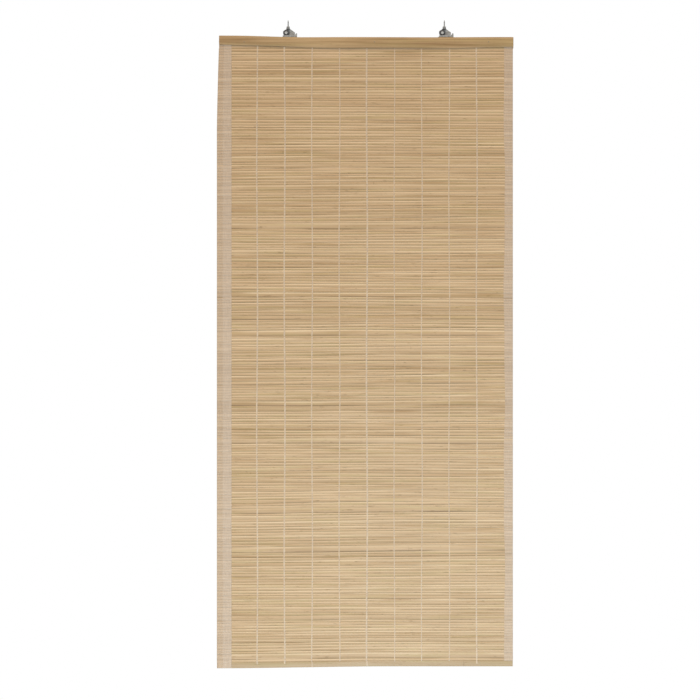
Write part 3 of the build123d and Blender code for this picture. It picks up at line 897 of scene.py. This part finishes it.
# Head batten. A darker strip of planed bamboo clamps the mat against the rail and hides its raw top edge.
# It is bent up a little and narrowed at its left end. Three steel brads pin it through the mat to the rail.
HEAD_STEPS = 40
HEAD_EASE = 0.0011
HEAD_CROWN = 0.0013
HEAD_PALE = (0.660, 0.454, 0.237, 1.0)
HEAD_DEEP = (0.315, 0.180, 0.072, 1.0)
HEAD_BEND = 0.0038
HEAD_BEND_ENDS = 0.30
HEAD_BEND_SPAN = 0.25
HEAD_NARROWED = 0.0100
HEAD_NARROWED_SPAN = 0.42
HEAD_NARROWED_CURVE = 1.2
HEAD_RIGHT_RISE = 0.0023
HEAD_RIGHT_STARTS = 0.8
HEAD_RIGHT_SPAN = 0.13
HEAD_LOWER_WAVE = (0.0004, 23.0, 0.6)
HEAD_LOWER_DROP = 0.0006
HEAD_UPPER_WAVE = (0.0003, 17.0, 2.0)
BRAD_STEEL = (0.36, 0.28, 0.19, 1.0)
METAL_CLOUDS = (260.0, 260.0, 260.0)
METAL_CLOUD_RANGE = (0.3, 0.7)
METAL_BLOOM = 0.35
METAL_LINES = (350.0, 2500.0, 2500.0)
METAL_LINE_ROUGHNESS = 0.1
METAL_RELIEF = 0.00008

head_low, head_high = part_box("head_batten")
head_bamboo = strip_material(
    "head_bamboo", HEAD_PALE, HEAD_DEEP, tone=0.46, stalk=0.23,
    joints=0.4, flecks=0.5, streaks=1.9, bump=0.6, coat=0.15,
)
head_strip = planed_strip("head_strip", head_low, head_high, HEAD_STEPS, HEAD_CROWN, HEAD_EASE, head_bamboo)
for vertex in head_strip.data.vertices:
    across = (vertex.co.x - head_low.x) / (head_high.x - head_low.x)
    lower_part = (head_high.z - vertex.co.z) / (head_high.z - head_low.z)
    lower_rise = HEAD_NARROWED * max(1.0 - across / HEAD_NARROWED_SPAN, 0.0) ** HEAD_NARROWED_CURVE
    lower_rise += HEAD_RIGHT_RISE * max(across - HEAD_RIGHT_STARTS, 0.0) / HEAD_RIGHT_SPAN
    lower_rise += wave(vertex.co.x, *HEAD_LOWER_WAVE) - HEAD_LOWER_DROP
    bend = min(max((HEAD_BEND_ENDS - across) / HEAD_BEND_SPAN, 0.0), 1.0)
    upper_rise = HEAD_BEND * bend * bend * (3.0 - 2.0 * bend) + wave(vertex.co.x, *HEAD_UPPER_WAVE)
    vertex.co.z += lower_part * lower_rise + (1.0 - lower_part) * upper_rise
smooth_below(head_strip, degrees=40)
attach(head_strip, "blind")
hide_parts("head_batten")


def make_metal_bloom():
    """Cloudy tone, uneven gloss and fine scratches of plated or bare steel."""
    tree, given, result = new_node_tree(
        "ShaderNodeTree",
        "metal_bloom",
        {"Bright": "Color", "Dull": "Color", "Roughness": "Float"},
        {"Color": "Color", "Roughness": "Float", "Height": "Float"},
    )
    place = object_place(tree)
    clouds = stretched_noise(tree, place, METAL_CLOUDS, 3.0)
    lines = stretched_noise(tree, place, METAL_LINES, 2.0)
    cloudy = ramp(tree, clouds, *METAL_CLOUD_RANGE)
    colour = blend_colours(tree, cloudy, given["Bright"], given["Dull"])
    rough = times_plus(tree, about_zero(tree, clouds), METAL_BLOOM, given["Roughness"])
    tree.links.new(colour, result["Color"])
    tree.links.new(times_plus(tree, lines, METAL_LINE_ROUGHNESS, rough), result["Roughness"])
    tree.links.new(lines, result["Height"])
    return tree


metal_bloom = make_metal_bloom()


def metal_material(name, colour, roughness, mottle, scratch):
    """Plated or bare steel, duller in places by the share of its mottle."""
    material, tree, shader = new_material(name, {"Metallic": 1.0})
    values = {"Bright": colour, "Dull": darkened(colour, 1.0 - mottle), "Roughness": roughness}
    bloom = add_node(tree, "ShaderNodeGroup", values, node_tree=metal_bloom)
    tree.links.new(bloom["Color"], shader["Base Color"])
    tree.links.new(bloom["Roughness"], shader["Roughness"])
    add_relief(tree, shader, bloom["Height"], scratch, METAL_RELIEF)
    return material


dress("head_batten_brads", metal_material("brad_steel", BRAD_STEEL, roughness=0.45, mottle=0.3, scratch=0.3))


# Hanger brackets. Each is stamped and bent from one zinc plated sheet: a base on the rail, an upright plate
# with an ear, a tab for the ceiling screw and an upturned lug. Two hexagon headed screws hold it down.
ZINC_COLOUR = (0.31, 0.31, 0.30, 1.0)
# Painted shade: the screws' zinc is darker than the plate's, standing in for the shade around the ceiling
# screw's neck
SHADED_SCREW_ZINC = (0.23, 0.23, 0.22, 1.0)

zinc_plate = metal_material("zinc_plate", ZINC_COLOUR, roughness=0.48, mottle=0.30, scratch=0.4)
shaded_screw_zinc = metal_material("shaded_screw_zinc", SHADED_SCREW_ZINC, roughness=0.42, mottle=0.25, scratch=0.2)
for side in ("left", "right"):
    dress(f"{side}_hanger_bracket", zinc_plate)
    dress(f"{side}_bracket_screws", shaded_screw_zinc)


# Pulley wheels. A small turned wheel of dark steel runs on a bright rivet in each bracket.
# It has a round groove between two rounded rims, and fine marks on its faces.
WHEEL_STEEL = (0.085, 0.085, 0.088, 1.0)
WHEEL_BORE = 0.00245
WHEEL_GROOVE = 0.0022
WHEEL_GROOVE_STEPS = 8
WHEEL_RIM_ROUND = 0.0006
WHEEL_RIM_STEPS = 3
WHEEL_TURNS = 48
AXLE_ZINC = (0.44, 0.44, 0.42, 1.0)


def wheel_section(radius, front, back):
    """Half section of the wheel as (radius, y) pairs, round from the bore in front to the bore behind."""
    middle = (front + back) / 2
    rim = []
    for step in range(WHEEL_RIM_STEPS + 1):
        turn = math.pi / 2 * step / WHEEL_RIM_STEPS
        rim.append(
            (radius - WHEEL_RIM_ROUND * (1.0 - math.sin(turn)), WHEEL_RIM_ROUND * (1.0 - math.cos(turn)))
        )
    groove = []
    for step in range(WHEEL_GROOVE_STEPS + 1):
        turn = math.pi * step / WHEEL_GROOVE_STEPS
        groove.append((radius - WHEEL_GROOVE * math.sin(turn), middle - WHEEL_GROOVE * math.cos(turn)))
    front_rim = [(r, front + inset) for r, inset in rim]
    back_rim = [(r, back - inset) for r, inset in reversed(rim)]
    return [(WHEEL_BORE, front), *front_rim, *groove, *back_rim, (WHEEL_BORE, back)]


def turned(name, section, centre_x, centre_z, steps, material):
    """A turned piece: a closed half section carried round an axis along Y."""
    shape = bmesh.new()
    rings = []
    for step in range(steps):
        turn = 2.0 * math.pi * step / steps
        spots = [(centre_x + r * math.cos(turn), y, centre_z + r * math.sin(turn)) for r, y in section]
        rings.append([shape.verts.new(spot) for spot in spots])
    skin(shape, rings + rings[:1], capped=False)
    bmesh.ops.recalc_face_normals(shape, faces=shape.faces[:])
    return make_piece(shape, name, material)


wheel_steel = metal_material("wheel_steel", WHEEL_STEEL, roughness=0.42, mottle=0.35, scratch=0.3)
axle_zinc = metal_material("axle_zinc", AXLE_ZINC, roughness=0.28, mottle=0.15, scratch=0.2)
for side in ("left", "right"):
    wheel_low, wheel_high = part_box(f"{side}_pulley_wheel")
    wheel = turned(
        f"{side}_cord_wheel",
        wheel_section((wheel_high.z - wheel_low.z) / 2, wheel_low.y, wheel_high.y),
        (wheel_low.x + wheel_high.x) / 2,
        (wheel_low.z + wheel_high.z) / 2,
        WHEEL_TURNS,
        wheel_steel,
    )
    smooth_below(wheel, degrees=35)
    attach(wheel, f"{side}_pulley")
    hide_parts(f"{side}_pulley_wheel")
    dress(f"{side}_pulley_axle", axle_zinc)


# Ceiling screws. Each hanger turns on a zinc plated wood screw whose six sided collar meets the ceiling.
# A rolled thread runs up its shank to the point, and its foot is held under the bracket's tab.
FOOT_RADIUS = 0.0032 / math.cos(math.pi / 6)
FOOT_HEIGHT = 0.0015
FOOT_TAPER = 0.93
JOURNAL_RADIUS = 0.0022
COLLAR_RADIUS = 0.0035 / math.cos(math.pi / 6)
COLLAR_HEIGHT = 0.004
COLLAR_TAPER = 0.94
SCREW_EASE = 0.0003
SCREW_LAP = 0.0002
SHANK_RADIUS = 0.0016
SHANK_SUNK = 0.0005
SHANK_PLAIN = 0.0022
SHANK_CORE = 0.00118
SHANK_ROUND = 24
POINT_RINGS = ((SHANK_CORE, 0.0045), (0.0006, 0.0018), (0.00012, 0.0))
THREAD_LOW = 0.0030
THREAD_LIFT = 0.0001
THREAD_SHORT_OF_POINT = 0.0042
THREAD_RISE = 0.0017
THREAD_PROUD = 0.00055
THREAD_STEPS = 20


def make_screw_thread_tree():
    """A helical ridge that climbs the shank, made by sweeping a small wedge along a spiral."""
    sizes = {"Turns": "Float", "Radius": "Float", "Rise": "Float", "Proud": "Float", "Steps": "Int"}
    tree, given, result = new_growth("screw_thread", sizes)
    climb = {
        "Resolution": given["Steps"],
        "Rotations": given["Turns"],
        "Start Radius": given["Radius"],
        "End Radius": given["Radius"],
        "Height": given["Rise"],
    }
    spiral = add_node(tree, "GeometryNodeCurveSpiral", climb)[0]
    four_sided = {"Resolution": 4, "Radius": given["Proud"]}
    wedge = add_node(tree, "GeometryNodeCurvePrimitiveCircle", four_sided, mode="RADIUS")[0]
    swept = {"Curve": spiral, "Profile Curve": wedge, "Fill Caps": True}
    return end_growth(tree, add_node(tree, "GeometryNodeCurveToMesh", swept)[0], given, result)


def screw_blank(name, centre_x, low, tip, material):
    """Foot, journal, six sided collar and plain shank of the ceiling screw, turned about Z.
    The collar meets the ceiling at level 0."""
    foot_high = low + FOOT_HEIGHT
    foot = ((FOOT_RADIUS * FOOT_TAPER, low), (FOOT_RADIUS, low + SCREW_EASE), (FOOT_RADIUS, foot_high))
    journal = ((JOURNAL_RADIUS, foot_high - SCREW_LAP), (JOURNAL_RADIUS, SCREW_LAP - COLLAR_HEIGHT))
    collar = (
        (COLLAR_RADIUS * COLLAR_TAPER, -COLLAR_HEIGHT),
        (COLLAR_RADIUS, SCREW_EASE - COLLAR_HEIGHT),
        (COLLAR_RADIUS, -SCREW_EASE),
        (COLLAR_RADIUS * COLLAR_TAPER, 0.0),
    )
    plain = ((SHANK_RADIUS, -SHANK_SUNK), (SHANK_RADIUS, SHANK_PLAIN), (SHANK_CORE, THREAD_LOW))
    point = tuple((radius, tip - below_tip) for radius, below_tip in POINT_RINGS)
    shape = bmesh.new()
    for sides, levels in ((6, foot), (SHANK_ROUND, journal), (6, collar), (SHANK_ROUND, plain + point)):
        turns = [2.0 * math.pi * i / sides for i in range(sides)]
        rings = []
        for radius, z in levels:
            spots = [(centre_x + radius * math.cos(turn), radius * math.sin(turn), z) for turn in turns]
            rings.append([shape.verts.new(spot) for spot in spots])
        skin(shape, rings)
    bmesh.ops.recalc_face_normals(shape, faces=shape.faces[:])
    return make_piece(shape, name, material)


screw_thread_tree = make_screw_thread_tree()
for side in ("left", "right"):
    screw_low, screw_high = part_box(f"{side}_hanger_screw")
    screw_x = (screw_low.x + screw_high.x) / 2
    # The ceiling screw's darker zinc is painted shade
    screw = screw_blank(f"{side}_ceiling_screw", screw_x, screw_low.z, screw_high.z, shaded_screw_zinc)
    threaded = screw_high.z - THREAD_LOW - THREAD_SHORT_OF_POINT
    ridge_mesh = bpy.data.meshes.new(f"{side}_thread_start")
    ridge_mesh.from_pydata([(0.0, 0.0, 0.0)], [], [])
    ridge = grow(
        f"{side}_thread_ridge",
        ridge_mesh,
        screw_thread_tree,
        {
            "Turns": threaded / THREAD_RISE,
            "Radius": SHANK_CORE,
            "Rise": threaded,
            "Proud": THREAD_PROUD,
            "Steps": THREAD_STEPS,
            "Material": shaded_screw_zinc,
        },
    )
    for vertex in ridge.data.vertices:
        vertex.co.x += screw_x
        vertex.co.z += THREAD_LOW + THREAD_LIFT
    joined = bmesh.new()
    joined.from_mesh(screw.data)
    joined.from_mesh(ridge.data)
    joined.to_mesh(screw.data)
    joined.free()
    bpy.data.objects.remove(ridge)
    smooth_below(screw, degrees=30)
    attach(screw, f"{side}_screw")
    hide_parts(f"{side}_hanger_screw")


# Room. A pale floor lies well below the blind, and soft light comes from above and from low in front,
# so that the foot of the blind is a little brighter than its head. The surroundings are plain white.
FLOOR_LEVEL = -3.10
FLOOR_SIZE = 7.0
FLOOR_COLOUR = (0.80, 0.83, 0.86, 1.0)
AMBIENT = (0.289, 0.271, 0.250, 1.0)
WHITE = (1.0, 1.0, 1.0, 1.0)
SUN_POWER = 1.63
SUN_COLOUR = (1.0, 0.792, 0.572)
SUN_SPREAD = math.radians(50)
SUN_TURN = (math.radians(42), 0.0, math.radians(-12))
CAMERA_DISTANCE = 5.0
CAMERA_LENS = 101.42
CAMERA_SENSOR = 36.0
CAMERA_X = -0.0412
CAMERA_Z = -0.8215

half = FLOOR_SIZE / 2
floor_corners = [(x, y, FLOOR_LEVEL) for x, y in ((-half, -half), (half, -half), (half, half), (-half, half))]
floor_mesh = bpy.data.meshes.new("floor")
floor_mesh.from_pydata(floor_corners, [], [(0, 1, 2, 3)])
floor_mesh.materials.append(new_material("floor_paint", {"Base Color": FLOOR_COLOUR, "Roughness": 0.9})[0])
put_in_scene("floor", floor_mesh)

# Light from the surroundings is the ambient colour, but seen directly or in a reflection they are white
world = bpy.data.worlds.new("plain_white")
bpy.context.scene.world = world
world.use_nodes = True
world_tree = world.node_tree
ambient = world_tree.nodes["Background"]
ambient.inputs["Color"].default_value = AMBIENT
white = add_node(world_tree, "ShaderNodeBackground", {"Color": WHITE, "Strength": 1.0})[0]
rays = add_node(world_tree, "ShaderNodeLightPath")
seen = math_node(world_tree, "MAXIMUM", rays["Is Camera Ray"], rays["Is Glossy Ray"])
seen = math_node(world_tree, "MAXIMUM", seen, rays["Is Transmission Ray"])
shown = add_node(world_tree, "ShaderNodeMixShader", {0: seen, 1: ambient.outputs[0], 2: white})[0]
world_tree.links.new(shown, world_tree.nodes["World Output"].inputs["Surface"])


def soft_lamp(name, place, target, size, power, colour):
    """A square area lamp that points at a target."""
    lamp_data = bpy.data.lights.new(name, "AREA")
    lamp_data.shape = "SQUARE"
    lamp_data.size = size
    lamp_data.energy = power
    lamp_data.color = colour
    lamp = put_in_scene(name, lamp_data)
    direction = np.array(target) - np.array(place)
    lamp.location = place
    lamp.rotation_euler = (
        math.pi / 2 + math.atan2(direction[2], math.hypot(direction[0], direction[1])),
        0.0,
        math.atan2(direction[1], direction[0]) - math.pi / 2,
    )


sun_data = bpy.data.lights.new("window_light", "SUN")
sun_data.energy = SUN_POWER
sun_data.color = SUN_COLOUR
sun_data.angle = SUN_SPREAD
put_in_scene("window_light", sun_data).rotation_euler = SUN_TURN
soft_lamp(
    "low_lamp",
    place=(0.3, -2.2, -2.0), target=(0.0, 0.0, -1.5),
    size=1.2, power=31.0, colour=(0.484, 0.745, 1.0),
)
soft_lamp(
    "back_lamp",
    place=(0.8, 2.6, 0.4), target=(0.0, 0.0, -0.8),
    size=1.5, power=30.0, colour=(1.0, 1.0, 1.0),
)

camera_data = bpy.data.cameras.new("camera")
camera_data.lens = CAMERA_LENS
camera_data.sensor_width = CAMERA_SENSOR
camera = put_in_scene("camera", camera_data)
camera.location = (CAMERA_X, mat_low.y - CAMERA_DISTANCE, CAMERA_Z)
camera.rotation_euler = (math.pi / 2, 0.0, 0.0)
bpy.context.scene.camera = camera
bpy.context.scene.view_settings.view_transform = "Standard"
